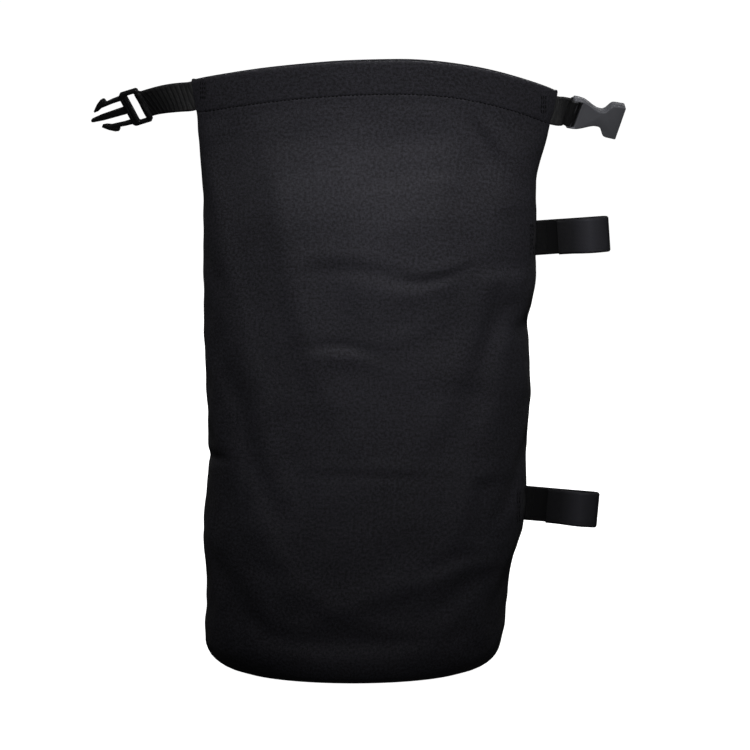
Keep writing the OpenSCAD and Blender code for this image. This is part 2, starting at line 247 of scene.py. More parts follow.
def pile_material(name, dark, light, hooks=False):
    """Fuzzy loops, or rows of small hooks."""
    m = Nodes(name)
    b = m.bsdf
    uv = m.uv()
    if hooks:
        x, y, _ = m.split(uv)
        a = m.math("ABSOLUTE", m.math("SINE", m.math("MULTIPLY", x, math.pi / 0.0015)))
        c = m.math("ABSOLUTE", m.math("SINE", m.math("MULTIPLY", y, math.pi / 0.0012)))
        h = m.math("POWER", m.math("MULTIPLY", a, c), 1.5)
    else:
        v = m.add("ShaderNodeTexVoronoi")
        m.put(v.inputs["Vector"], uv)
        v.inputs["Scale"].default_value = 900.0
        h = m.math("ADD", m.math("MULTIPLY", v.outputs["Distance"], 0.8),
                   m.math("MULTIPLY", m.noise(uv, 1200.0, 4.0, 0.7), 0.6))
    # colour follows the bump's height: the pile's mottled tone, with painted shade in the low places between the loops
    # and between the rows of hooks
    col = m.mix(m.span(h, 0.1, 0.9, 0.0, 1.0), dark, light)
    m.put(b.inputs["Base Color"], col)
    m.put(b.inputs["Normal"], m.bump(h, 0.9, 0.0008))
    m.put(b.inputs["Roughness"], m.span(h, 0.0, 1.0, 0.95, 0.75))
    b.inputs["Specular IOR Level"].default_value = 0.05
    b.inputs["Sheen Weight"].default_value = 0.02
    b.inputs["Sheen Roughness"].default_value = 0.6
    return m.mat


def plastic_material(name, dark, light, rough=0.38, spec=0.45):
    """Moulded nylon or acetal: fine spark-eroded grain, dull rubbed edges."""
    m = Nodes(name)
    b = m.bsdf
    o = m.object()
    grain = m.noise(o, 2600.0, 3.0, 0.6)
    cloud = m.noise(o, 120.0, 3.0, 0.6)
    scuff = m.noise(m.vmath("MULTIPLY", o, (300.0, 60.0, 900.0)), 1.2, 3.0, 0.7)
    geo = m.add("ShaderNodeNewGeometry")
    edge = m.span(geo.outputs["Pointiness"], 0.52, 0.58, 0.0, 1.0)
    col = m.mix(m.math("ADD", m.math("MULTIPLY", cloud, 0.6), m.math("MULTIPLY", grain, 0.3)), dark, light)
    col = m.mix(m.math("MULTIPLY", edge, 0.08), col, tuple(min(1, c * 1.9 + 0.01) for c in light))
    m.put(b.inputs["Base Color"], col)
    r = m.math("ADD", m.span(scuff, 0.3, 0.8, rough - 0.05, rough + 0.12), m.math("MULTIPLY", grain, 0.08))
    m.put(b.inputs["Roughness"], r)
    m.put(b.inputs["Normal"], m.bump(grain, 0.06, 0.00008))
    b.inputs["Specular IOR Level"].default_value = spec
    return m.mat


def thread_material(name, dark, light):
    m = Nodes(name)
    b = m.bsdf
    uv = m.uv()
    x, y, _ = m.split(uv)
    ply = m.math("ABSOLUTE", m.math("SINE", m.math("ADD", m.math("MULTIPLY", x, 9000.0), m.math("MULTIPLY", y, 6.0))))
    # painted shade: the colour follows the ply's ridges, darker in the grooves between them
    col = m.mix(ply, dark, light)
    m.put(b.inputs["Base Color"], col)
    m.put(b.inputs["Normal"], m.bump(ply, 0.5, 0.0001))
    m.put(b.inputs["Roughness"], m.span(m.noise(m.object(), 900.0), 0.2, 0.8, 0.6, 0.8))
    b.inputs["Specular IOR Level"].default_value = 0.06
    return m.mat


M_CLOTH = cloth_material("cloth", (0.0045, 0.0043, 0.0060), (0.0224, 0.0218, 0.0290), rough=0.7, sheen=0.03, spec=0.2)
M_LINING = cloth_material("cloth_inside", (0.006, 0.006, 0.0065), (0.011, 0.011, 0.012), rough=0.5)
M_TAPE = webbing_material("binding", (0.006, 0.006, 0.0065), (0.012, 0.012, 0.013), rib=0.002)
M_WEB = webbing_material("webbing", (0.0025, 0.0025, 0.003), (0.0085, 0.0085, 0.0095), spec=0.35)
M_STRAP = webbing_material("strap_back", (0.0012, 0.0012, 0.0015), (0.003, 0.003, 0.0036), rib=0.0016, rough=0.6, spec=0.12)
# the upper and lower fold pieces carry a painted highlight band along the tape, set stronger on the upper strap than on
# the lower
M_STRAP_U = webbing_material("strap_upper", (0.0012, 0.0012, 0.0015), (0.003, 0.003, 0.0036), rib=0.0016, rough=0.5, spec=0.14,
                            painted_highlight=(0.024, 0.044, 0.072, 12.0))
M_STRAP_L = webbing_material("strap_lower", (0.0012, 0.0012, 0.0015), (0.003, 0.003, 0.0036), rib=0.0016, rough=0.5, spec=0.12,
                            painted_highlight=(0.024, 0.044, 0.072, 9.0))
M_PILE = pile_material("loop_pile", (0.001, 0.001, 0.0012), (0.0045, 0.0045, 0.005))
M_HOOK = pile_material("hook_tape", (0.003, 0.003, 0.0035), (0.014, 0.014, 0.015), hooks=True)
M_MALE = plastic_material("buckle_black", (0.006, 0.006, 0.007), (0.011, 0.011, 0.012))
M_FEMALE = plastic_material("buckle_grey", (0.112, 0.114, 0.126), (0.148, 0.15, 0.165), rough=0.5, spec=0.2)
M_STIFF = plastic_material("stiffener", (0.02, 0.02, 0.021), (0.04, 0.04, 0.042), rough=0.55)
M_THREAD = thread_material("thread", (0.0012, 0.0012, 0.0015), (0.004, 0.004, 0.0045))

# ---------------------------------------------------------------- shape of the bag


def curve(T):
    """Smooth shape-keeping curve through a table of points."""
    x = np.array([p[0] for p in T], float)
    y = np.array([p[1] for p in T], float)
    h = np.diff(x)
    d = np.diff(y) / h
    s = np.zeros_like(x)
    for i in range(1, len(x) - 1):
        if d[i - 1] * d[i] > 0:
            w1, w2 = 2 * h[i] + h[i - 1], h[i] + 2 * h[i - 1]
            s[i] = (w1 + w2) / (w1 / d[i - 1] + w2 / d[i])
    s[0], s[-1] = d[0], d[-1]

    def f(z):
        z = np.clip(np.asarray(z, float), x[0], x[-1])
        i = np.clip(np.searchsorted(x, z, side="right") - 1, 0, len(x) - 2)
        t = (z - x[i]) / h[i]
        return ((1 + 2 * t) * (1 - t) ** 2 * y[i] + t * (1 - t) ** 2 * h[i] * s[i]
                + t * t * (3 - 2 * t) * y[i + 1] + t * t * (t - 1) * h[i] * s[i + 1])

    return f


LEFT = curve([[0, -98], [3, -108.5], [8, -117], [15, -122.8], [25, -126], [40, -126.6],
              [56, -125.4], [84, -125.6], [108, -127], [126, -127], [142, -125.8], [160, -124], [176, -122.8],
              [187, -121.6], [194, -122.2], [204, -122.6], [230, -123.2], [270, -124.6], [317, -125.6], [360, -125.4],
              [404, -125.2], [440, -127.8], [462, -130.2], [484, -131.8], [500, -134.4], [510, -136],
              [530, -136]])
RIGHT = curve([[0, 100], [3, 111], [8, 119.5], [15, 125], [25, 128.5], [39, 131.5],
               [56, 133], [74, 135], [91, 137.5], [108, 142.5], [126, 147.8], [142, 149.2], [160, 149.6], [187, 148.9],
               [215, 150.5], [247, 152], [275, 150.8], [300, 149.8], [317, 152.4], [335, 155.6], [352, 157],
               [388, 157.2], [421, 157.2], [438, 160], [456, 165], [472, 168.4], [486, 171.2], [502, 175],
               [530, 175]])
DEPTH = curve([[0, 66], [3, 69.5], [8, 71.5], [15, 72.6], [25, 73], [40, 72.6], [70, 71.4], [100, 69.4], [150, 65],
               [200, 58.5], [240, 54], [300, 49], [340, 46], [380, 41], [410, 33], [440, 20.5], [462, 12.5],
               [480, 10], [500, 9], [530, 9]])
TOP, PEAK_X, ML, MR = 526.5, 40.0, -136.0, 175.0
HEM = 30.0


def mid(z):
    return (LEFT(z) + RIGHT(z)) / 2


def half(z):
    return (RIGHT(z) - LEFT(z)) / 2


def rim(x):
    x = np.asarray(x, float)
    return np.where(x < PEAK_X, TOP - 17.5 * ((PEAK_X - x) / (PEAK_X - ML)) ** 2,
                    TOP - 27 * ((x - PEAK_X) / (MR - PEAK_X)) ** 2)


def smooth(a, b, x):
    t = np.clip((np.asarray(x, float) - a) / (b - a), 0, 1)
    return t * t * (3 - 2 * t)


U_ROOT = (float(RIGHT(374)) + 2.0, 374.0)
L_ROOT = (float(RIGHT(144)) + 1.0, 144.0)


def ring(p, z, side):
    """Point of the wall's outer face; p in radians, 0 at the right seam and pi at the left; side is -1 front, 1 back."""
    c, s = np.cos(p), np.abs(np.sin(p))
    e = 1 - 0.22 * smooth(440, 500, z)
    y = DEPTH(z) * s ** e
    # the seams stay open by the thickness of what is sewn into them
    gap = 0.25 + 1.5 * smooth(474, 482, z)
    gap = gap + (c > 0.9) * (0.75 * smooth(19, 15, np.abs(z - 374)) + 0.75 * smooth(19, 15, np.abs(z - 144)))
    y = np.maximum(y, gap)
    return np.stack([mid(z) + half(z) * c, side * y, z + 0 * p], -1)


# Folds of the cloth: centre (x, z) in front view, angle, half length, width, height, sagging
FOLDS_FRONT = [
    # x, z, angle, length, width, height, bow
    (16, 352, -9, 52, 8, -2.6, 0.0030),
    (0, 362, -6, 46, 10, 1.8, 0.0030),
    (70, 344, 12, 34, 5, -2.4, -0.004),
    (82, 353, 14, 28, 6, 1.7, -0.004),
    (60, 334, 8, 40, 9, 1.5, -0.003),
    (-8, 288, -6, 30, 5, -2.2, 0.006),
    (-4, 279, -4, 34, 8, 1.9, 0.005),
    (44, 296, 16, 30, 8, 1.2, -0.004),
    (78, 432, -18, 15, 3.2, -1.1, 0.010),
    (84, 425, -22, 18, 5, 0.9, 0.006),
    (128, 456, -58, 40, 7, 2.2, 0.001),
    (116, 448, -60, 40, 7, -2.0, 0.001),
    (140, 430, -64, 36, 6, -1.8, -0.001),
    (98, 462, -50, 26, 8, 1.0, 0.0),
    (-118, 470, 62, 30, 7, 1.4, 0.0),
    (-108, 452, 66, 36, 8, -1.3, 0.0),
    (20, 178, -1, 74, 3.2, -0.9, 0.0004),
    (20, 185, -1, 74, 6, 0.7, 0.0004),
    (-40, 238, 3, 60, 12, 1.2, 0.002),
    (100, 246, -10, 40, 10, -1.4, 0.002),
    (92, 106, 14, 46, 7, -1.8, 0.003),
    (84, 96, 12, 52, 9, 1.6, 0.003),
    (-70, 96, -10, 46, 10, -1.3, -0.002),
    (-60, 128, -6, 52, 12, 1.2, -0.002),
    (10, 34, 0, 90, 8, -1.2, -0.0006),
    (118, 300, 78, 44, 8, -1.7, 0.001),
    (128, 262, 82, 40, 7, 1.5, 0.0),
    (-92, 140, 88, 110, 2.4, -0.8, 0.0),
    (-98, 330, 84, 90, 10, -1.0, 0.0),
    (-60, 400, 30, 60, 16, 1.3, 0.001),
    (30, 405, 4, 80, 20, 1.6, 0.001),
]
FOLDS_BACK = [
    (30, 350, 10, 60, 9, -2.4, -0.003),
    (24, 362, 8, 54, 11, 1.9, -0.003),
    (-60, 300, -12, 46, 8, -2.0, 0.003),
    (-50, 288, -10, 50, 10, 1.6, 0.003),
    (70, 262, 14, 44, 9, -1.8, 0.002),
    (0, 210, -3, 80, 8, -1.6, 0.001),
    (4, 198, -3, 84, 10, 1.3, 0.001),
    (-40, 120, 8, 60, 9, -1.6, -0.002),
    (60, 96, -8, 56, 10, 1.5, 0.002),
    (120, 450, -60, 38, 8, 2.0, 0.0),
    (110, 440, -62, 38, 7, -1.7, 0.0),
    (-104, 452, 60, 38, 8, 1.9, 0.0),
    (-96, 440, 62, 36, 7, -1.6, 0.0),
    (20, 420, -3, 90, 14, -1.3, 0.001),
]


def fold_height(x, z, back):
    out = np.zeros_like(x)
    for fx, fz, ang, ln, w, amp, bow in FOLDS_BACK if back else FOLDS_FRONT:
        a = math.radians(ang)
        u = (x - fx) * math.cos(a) + (z - fz) * math.sin(a)
        v = -(x - fx) * math.sin(a) + (z - fz) * math.cos(a) + bow * u * u
        out += 0.82 * amp * np.exp(-(u / ln) ** 2 * 1.3) * np.exp(-(v / w) ** 2)
    return out


def wander(x, z, seed, scale):
    """Smooth wandering value in about -1 to 1 made of a few waves."""
    r = np.random.default_rng(seed)
    out = np.zeros_like(x, float)
    for _ in range(9):
        k = r.normal(size=2) / scale
        out += np.sin(k[0] * x + k[1] * z * 1.5 + r.uniform(0, 6.28)) / 3
    return out


def normals_of(G, closed):
    """Outward normals of a grid G[row, col, 3] (columns go right, front, left, back)."""
    if closed:
        du = np.roll(G, -1, 1) - np.roll(G, 1, 1)
    else:
        du = np.gradient(G, axis=1)
    dv = np.gradient(G, axis=0)
    n = np.cross(du, dv)
    n /= np.maximum(np.linalg.norm(n, axis=2, keepdims=True), 1e-9)
    return n


ROWS_A = 152   # rows from the base to the hem line
COLS = 236     # columns all round, right seam at 0
NH = COLS // 2


def column_angles(n):
    """Angles spaced by about equal cloth: the ellipse is stepped by its own arc."""
    t = np.linspace(0, 2 * math.pi, 8001)
    a, b = 140.0, 50.0
    s = np.concatenate([[0], np.cumsum(np.hypot(a * np.diff(np.cos(t)), b * np.diff(np.sin(t))))])
    return np.interp(np.arange(n) / n * s[-1], s, t)


P_ALL = column_angles(COLS)
P_ALL[NH] = math.pi


def rim_of(p):
    return rim(mid(495.0) + half(495.0) * np.cos(p))


def row_heights(p):
    """Heights of the rows for each column, dense round the base's bend, ending at the hem line."""
    top = rim_of(p) - HEM
    base = np.array([0, 0.5, 1.3, 2.6, 4.4, 6.8, 9.6, 13, 17, 21.5])
    m = len(base)
    out = np.empty((ROWS_A, len(p)))
    out[:m] = base[:, None]
    t = np.linspace(0, 1, ROWS_A - m + 1)
    out[m - 1:] = base[-1] + t[:, None] * (top[None, :] - base[-1])
    return out


def blur(a, n, wrap):
    """Soft average of a grid along rows and columns."""
    for _ in range(n):
        if wrap:
            a = (np.roll(a, 1, 1) + 2 * a + np.roll(a, -1, 1)) / 4
        else:
            b = a.copy()
            b[:, 1:-1] = (a[:, :-2] + 2 * a[:, 1:-1] + a[:, 2:]) / 4
            a = b
        b = a.copy()
        b[1:-1] = (a[:-2] + 2 * a[1:-1] + a[2:]) / 4
        a = b
    return a


def wall_rest():
    """The whole wall as a closed grid, at rest, before any fold."""
    Z = row_heights(P_ALL)
    Pm = np.broadcast_to(P_ALL, Z.shape)
    side = np.where((np.arange(COLS) <= NH), -1.0, 1.0)
    G = ring(Pm, Z, side)
    G[:, [0, NH], 1] = 0
    return G


def sculpt(G):
    """Height of the sculpted folds on the closed wall grid."""
    x, z = G[..., 0], G[..., 2]
    back = np.zeros(G.shape[:2], bool)
    back[:, NH:] = True
    h = np.where(back, fold_height(x, z, True), fold_height(x, z, False))
    top = rim_of(P_ALL)[None, :] - HEM
    c = np.abs(np.cos(P_ALL))[None, :]
    fade = smooth(0, 26, top - z) * smooth(6, 40, z) * (1 - 0.55 * smooth(0.93, 1.0, c))
    h = h + 0.55 * wander(x, z + 3 * G[..., 1], 3, 34) + 0.35 * wander(x, z - 2 * G[..., 1], 5, 15)
    # cloth gathered at the side seams
    seam = np.exp(-((1 - c) / 0.02) ** 2)
    h = h - 0.5 * seam + 0.5 * seam * np.sin(z / 5.3) * np.sin(z / 17.0)
    # notch and bulge of the left edge, and the dent under the lower strap
    left = smooth(-95, -120, x)
    h = h + left * (-1.8 * np.exp(-((z - 187) / 4.5) ** 2) + 1.0 * np.exp(-((z - 116) / 16) ** 2))
    right = smooth(120, 146, x)
    h = h + right * (-1.6 * np.exp(-((z - 298) / 9) ** 2) + 0.8 * np.exp(-((z - 330) / 14) ** 2))
    return h * fade


def simulate(G, N, seconds_cap=60):
    """Lets the stuffed cloth settle under its own weight and the filling's push, between the hem and the base."""
    g = G[::2, ::2]
    r, c = g.shape[:2]
    co = (g * MM).reshape(-1, 3)
    faces = [(i * c + j, i * c + (j + 1) % c, (i + 1) * c + (j + 1) % c, (i + 1) * c + j)
             for i in range(r - 1) for j in range(c)]
    me = bpy.data.meshes.new("settle")
    me.from_pydata(co.tolist(), [], faces)
    ob = bpy.data.objects.new("settle", me)
    bpy.context.scene.collection.objects.link(ob)
    vg = ob.vertex_groups.new(name="pin")
    w = np.zeros((r, c))
    z = g[..., 2]
    top = z[-1][None, :]
    w = np.maximum(w, smooth(16, 2, top - z))
    w = np.maximum(w, smooth(14, 4, z))
    w[:, 0] = np.maximum(w[:, 0], 0.35)
    w[:, c // 2] = np.maximum(w[:, c // 2], 0.35)
    for i, v in enumerate(w.reshape(-1)):
        if v > 0:
            vg.add([i], float(v), "REPLACE")
    mod = ob.modifiers.new("cloth", "CLOTH")
    st = mod.settings
    st.quality = 6
    st.mass = 0.05
    st.tension_stiffness = 20
    st.compression_stiffness = 12
    st.shear_stiffness = 8
    st.bending_stiffness = 1.2
    st.tension_damping = 12
    st.compression_damping = 12
    st.air_damping = 4
    st.vertex_group_mass = "pin"
    st.pin_stiffness = 4
    st.shrink_min = -0.022
    st.use_pressure = True
    st.uniform_pressure_force = 0.9
    mod.collision_settings.use_collision = False
    st.effector_weights.gravity = 0.7
    sc = bpy.context.scene
    sc.frame_start, sc.frame_end = 1, 30
    mod.point_cache.frame_start, mod.point_cache.frame_end = 1, 30
    for f in range(1, 27):
        sc.frame_set(f)
    ev = ob.evaluated_get(bpy.context.evaluated_depsgraph_get())
    out = np.empty(len(ev.data.vertices) * 3)
    ev.data.vertices.foreach_get("co", out)
    sc.frame_set(1)
    bpy.data.objects.remove(ob)
    D = out.reshape(r, c, 3) / MM - g
    if not np.isfinite(D).all():
        print("settling gave no result; the sculpted folds stand alone")
        return np.zeros_like(G)
    print("settled: largest move %.1f mm, mean %.2f mm" % (np.linalg.norm(D, axis=2).max(), np.linalg.norm(D, axis=2).mean()))
    # take the overall swelling out, keep the wrinkles, and cap what is left
    n = N[::2, ::2]
    h = (D * n).sum(2)
    swell = blur(h[..., None], 60, True)[..., 0]
    h = h - swell
    h = 5.0 * np.tanh(h / 5.0)
    fine = np.zeros(G.shape[:2])
    fine[::2, ::2] = h
    fine[::2, 1::2] = (h + np.roll(h, -1, 1)) / 2
    k = fine[::2]
    fine[1::2] = (k[:fine[1::2].shape[0]] + k[1:fine[1::2].shape[0] + 1]) / 2 if k.shape[0] > fine[1::2].shape[0] \
        else np.concatenate([(k[:-1] + k[1:]) / 2, k[-1:]])
    return blur(fine[..., None], 2, True)[..., 0]


REST = wall_rest()
NORM = normals_of(REST, True)
NORM = -NORM if (NORM[60, COLS // 4, 1] > 0) else NORM
HEIGHT = sculpt(REST)
HEIGHT = HEIGHT + 0.38 * simulate(REST + NORM * HEIGHT[..., None], NORM)
top_z = rim_of(P_ALL)[None, :] - HEM
HEIGHT = HEIGHT * smooth(0, 14, top_z - REST[..., 2]) * smooth(1, 24, REST[..., 2])
# the cloth never swells far past the room the design gives it
HEIGHT = np.clip(HEIGHT, -6.5, 4.5)
# flat beside the sewn straps, so that they can lie against the cloth
near = smooth(92, 112, REST[..., 0]) * np.maximum(smooth(34, 20, np.abs(REST[..., 2] - 144)), smooth(34, 20, np.abs(REST[..., 2] - 374)))
HEIGHT = np.where(HEIGHT > 0, HEIGHT * (1 - near), HEIGHT) - 0.6 * near * (REST[..., 1] < 0)

# ---------------------------------------------------------------- meshes


def put(name, verts, faces, uv=None, mat=None, smooth_shade=True, mats=None, face_mat=None):
    """A mesh object from points in metres."""
    me = bpy.data.meshes.new(name)
    me.from_pydata(np.asarray(verts, float).tolist(), [], [tuple(int(i) for i in f) for f in faces])
    me.validate()
    me.update()
    if uv is not None:
        layer = me.uv_layers.new(name="weave")
        idx = np.empty(len(me.loops), np.int32)
        me.loops.foreach_get("vertex_index", idx)
        layer.data.foreach_set("uv", np.asarray(uv, np.float32)[idx].reshape(-1))
    ob = bpy.data.objects.new(name, me)
    bpy.context.scene.collection.objects.link(ob)
    for m in (mats or [mat]):
        if m is not None:
            me.materials.append(m)
    if face_mat is not None:
        me.polygons.foreach_set("material_index", np.asarray(face_mat, np.int32))
    if smooth_shade:
        me.polygons.foreach_set("use_smooth", [True] * len(me.polygons))
    return ob


def grid_faces(r, c, start=0, flip=False, wrap=False):
    f = []
    for i in range(r - 1):
        for j in range(c if wrap else c - 1):
            k = (j + 1) % c
            q = (start + i * c + j, start + i * c + k, start + (i + 1) * c + k, start + (i + 1) * c + j)
            f.append(q[::-1] if flip else q)
    return f


def shell(name, F, thick, mat, inside_mat, uv):
    """A sheet of cloth with two faces and closed edges from a grid of its outer face, in millimetres."""
    n = normals_of(F, False)
    r, c = F.shape[:2]
    # outward is away from the bag's middle
    ref = F[r // 4, c // 2] - np.array([mid(F[r // 4, c // 2, 2]), 0, F[r // 4, c // 2, 2]])
    flip = (n[r // 4, c // 2] @ ref) < 0
    if flip:
        n = -n
    I = F - n * thick
    v = np.concatenate([F.reshape(-1, 3), I.reshape(-1, 3)]) * MM
    k = r * c
    f = grid_faces(r, c, 0, flip) + grid_faces(r, c, k, not flip)
    edge = []
    rows = [[i * c + j for j in range(c)] for i in range(r)]
    loops = [(rows[0], True), (rows[-1], False), ([q[0] for q in rows], False), ([q[-1] for q in rows], True)]
    for line, turn in loops:
        for a, b in zip(line[:-1], line[1:]):
            q = (a, b, b + k, a + k)
            if turn:
                q = q[::-1]
            if flip:
                q = q[::-1]
            edge.append(q)
    fm = [0] * ((r - 1) * (c - 1)) + [1] * ((r - 1) * (c - 1)) + [0] * len(edge)
    return put(name, v, f + edge, np.concatenate([uv.reshape(-1, 2)] * 2), mats=[mat, inside_mat], face_mat=fm)


# How the cloth runs on above the wall: up the hem, over the mouth's edge and down inside
HEM_UP = np.array([0.7, 1.3, 1.8, 2.3, 3.0, 4.0, 6.0, 9.0, 12.5, 16.0, 19.5, 22.5, 25.0, 26.6])
HEM_R = 1.95


def half_cloth(side):
    """Grid of the outer face of the front (-1) or back (1) cloth, base edge to the hem's inner edge, and its UVs."""
    if side < 0:
        cols = np.arange(0, NH + 1)
    else:
        cols = np.concatenate([np.arange(NH, COLS), [0]])
    p = P_ALL[cols]
    if side > 0:
        p = p.copy()
        p[-1] = 2 * math.pi
    Z = row_heights(p)
    A = ring(np.broadcast_to(p, Z.shape), Z, side)
    h = HEIGHT[:, cols]
    nrm = NORM[:, cols]
    A = A + nrm * h[..., None]
    # seams: cloth turns in towards the stitching
    hz = rim_of(p) - HEM
    rr = rim_of(p)
    rows = []
    xs = np.interp(np.arange(len(p)), np.arange(len(p)), np.cumsum(np.concatenate([[0], np.full(len(p) - 1, 314.0 / (len(p) - 1))])))
    wave = 0.35 * np.sin(xs / 23.0 + 1.0) + 0.25 * np.sin(xs / 9.1) + 0.3 * np.sin(xs / 51.0 + 2)
    n_top = nrm[-1].copy()
    n_top[:, 2] = 0
    n_top /= np.linalg.norm(n_top, axis=1, keepdims=True)
    for u in HEM_UP:
        q = ring(p, hz + u, side)
        groove = -0.38 * math.exp(-((u - 1.8) / 0.6) ** 2)
        puff = 0.22 * math.sin(math.pi * min(1, max(0, (u - 2.4) / 24.0))) + 0.12 * smooth(1.8, 3.2, u)
        q = q + n_top * (groove + puff + wave * 0.45 * math.sin(math.pi * min(1, u / 27)))[..., None]
        rows.append(q)
    edge = ring(p, rr - HEM_R, side)
    for a in np.linspace(0, math.pi, 9):
        q = edge - n_top * (HEM_R * (1 - math.cos(a)))
        q = q + np.array([0, 0, 1.0]) * (HEM_R * math.sin(a))
        q[:, 2] += 0.25 * wave
        rows.append(q)
    for u in np.linspace(26.0, 0.4, 12):
        q = ring(p, hz + u, side) - n_top * (2 * HEM_R - 0.2 * math.sin(u))
        rows.append(q)
    F = np.concatenate([A, np.array(rows)])
    # keep the inner hem off the other half at the two ends
    keep = side * np.maximum(side * F[..., 1], 0.45)
    F[..., 1] = np.where(np.arange(F.shape[0])[:, None] >= ROWS_A, keep, F[..., 1])
    # cloth lengths for the weave
    du = np.linalg.norm(np.diff(F, axis=1), axis=2)[60]
    u = np.concatenate([[0], np.cumsum(du)])
    dv = np.linalg.norm(np.diff(F, axis=0), axis=2).mean(1)
    v = np.concatenate([[0], np.cumsum(dv)])
    uv = np.stack(np.meshgrid(u, v), -1) * MM
    return F, uv


CLOTH_T = 0.85
F_FRONT, UV_FRONT = half_cloth(-1)
F_BACK, UV_BACK = half_cloth(1)
front = shell("front_cloth", F_FRONT, CLOTH_T, M_CLOTH, M_LINING, UV_FRONT)
back = shell("back_cloth", F_BACK, CLOTH_T, M_CLOTH, M_LINING, UV_BACK)
for ob, nodes in ((front, ("front_panel", "front_flap")), (back, ("back_panel", "back_flap"))):
    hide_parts(*nodes)
    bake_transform(ob)
for ob, F in ((front, F_FRONT), (back, F_BACK)):
    gu = np.linalg.norm(np.cross(F[1:, 1:] - F[:-1, :-1], F[1:, :-1] - F[:-1, 1:]), axis=2).sum() / 2
    print(ob.name, "cloth area %.4f m2" % (gu * 1e-6))
    wide = float(np.linalg.norm(np.diff(F, axis=1), axis=2).sum(1).max()) * MM
    long_ = float(np.linalg.norm(np.diff(F, axis=0), axis=2).sum(0).max()) * MM
    print("cut size %.3f x %.3f m" % (wide, long_))


def base_cloth():
    """The oval base, a little dished by what it carries."""
    n, rings_ = 120, 16
    t = np.linspace(0, 2 * math.pi, n, endpoint=False)
    A, B = float(half(0)) - 0.7, float(DEPTH(0)) - 0.7
    out, uv = [], []
    for z_off in (0, 1):
        for k in np.linspace(1, 0.04, rings_):
            dish = 1.1 * (1 - k ** 3) + 0.35 * np.sin(3 * t + 1) * (1 - k) * k * 2 + 0.25 * np.sin(5 * t) * (1 - k) * k * 2
            z = 0.25 + np.maximum(dish, 0) + z_off * 1.0
            out.append(np.stack([float(mid(0)) + A * k * np.cos(t), B * k * np.sin(t), z], -1))
            uv.append(np.stack([A * k * np.cos(t), B * k * np.sin(t)], -1))
    v = np.concatenate(out)
    f = grid_faces(rings_, n, 0, True, wrap=True) + grid_faces(rings_, n, rings_ * n, False, wrap=True)
    f += [tuple(range((rings_ - 1) * n, rings_ * n))[::-1], tuple(range((2 * rings_ - 1) * n, 2 * rings_ * n))]
    for j in range(n):
        k = (j + 1) % n
        f.append((j, k, rings_ * n + k, rings_ * n + j)[::-1])
    ob = put("base_cloth", v * MM, f, np.concatenate(uv) * MM, M_CLOTH)
    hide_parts("base_panel")
    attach(ob, "bag")
    return ob


base_cloth()


def strip_solid(name, C, Nn, thick, mat, uv, wrap=False):
    """A thin strip with closed edges: C[row, col, 3] is its face and Nn the way it faces, in millimetres."""
    r, c = C.shape[:2]
    I = C - Nn * thick
    v = np.concatenate([C.reshape(-1, 3), I.reshape(-1, 3)]) * MM
    k = r * c
    f = grid_faces(r, c, 0, False, wrap) + grid_faces(r, c, k, True, wrap)
    lines = [([j for j in range(c)] + ([0] if wrap else []), True),
             ([(r - 1) * c + j for j in range(c)] + ([(r - 1) * c] if wrap else []), False)]
    if not wrap:
        lines += [([i * c for i in range(r)], False), ([i * c + c - 1 for i in range(r)], True)]
    for line, turn in lines:
        for a, b in zip(line[:-1], line[1:]):
            q = (a, b, b + k, a + k)
            f.append(q[::-1] if turn else q)
    ob = put(name, v, f, np.concatenate([uv.reshape(-1, 2)] * 2), mat)
    me = ob.data
    import bmesh
    bm = bmesh.new()
    bm.from_mesh(me)
    bmesh.ops.recalc_face_normals(bm, faces=bm.faces)
    bm.to_mesh(me)
    bm.free()
    return ob


def seam_binding(side_col, name, node):
    """Binding over the inside of a side seam, following the cloth."""
    rows = np.arange(12, ROWS_A - 14)
    cols = [(side_col + k) % COLS for k in range(-3, 4)]
    S = (REST + NORM * HEIGHT[..., None])[rows][:, cols]
    n = NORM[rows][:, cols].copy()
    # soften the sharp turn of the seam: the binding bridges it
    S = blur(S, 3, False)
    inward = np.array([1.0 if side_col == NH else -1.0, 0, 0])
    C = S - n * 1.6 + inward * 1.4
    width = np.linspace(0, 14, 7)
    ln = np.concatenate([[0], np.cumsum(np.linalg.norm(np.diff(C[:, 3], axis=0), axis=1))])
    uv = np.stack(np.meshgrid(width, ln), -1)[..., ::-1] * MM
    ob = strip_solid(name, C, n, 0.8, M_TAPE, uv)
    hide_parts(node)
    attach(ob, "bag")


seam_binding(NH, "left_seam_binding", "left_seam_tape")
seam_binding(0, "right_seam_binding", "right_seam_tape")


def base_binding():
    rows = [6, 7, 8, 9, 10]
    S = (REST + NORM * HEIGHT[..., None])[rows]
    n = NORM[rows]
    C = S - n * 1.5
    ln = np.linspace(0, 640, COLS)
    uv = np.stack(np.meshgrid(ln, np.linspace(0, 12, 5)), -1) * MM
    ob = strip_solid("base_seam_binding", C, n, 0.8, M_TAPE, uv, wrap=True)
    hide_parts("base_seam_tape")
    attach(ob, "bag")


base_binding()


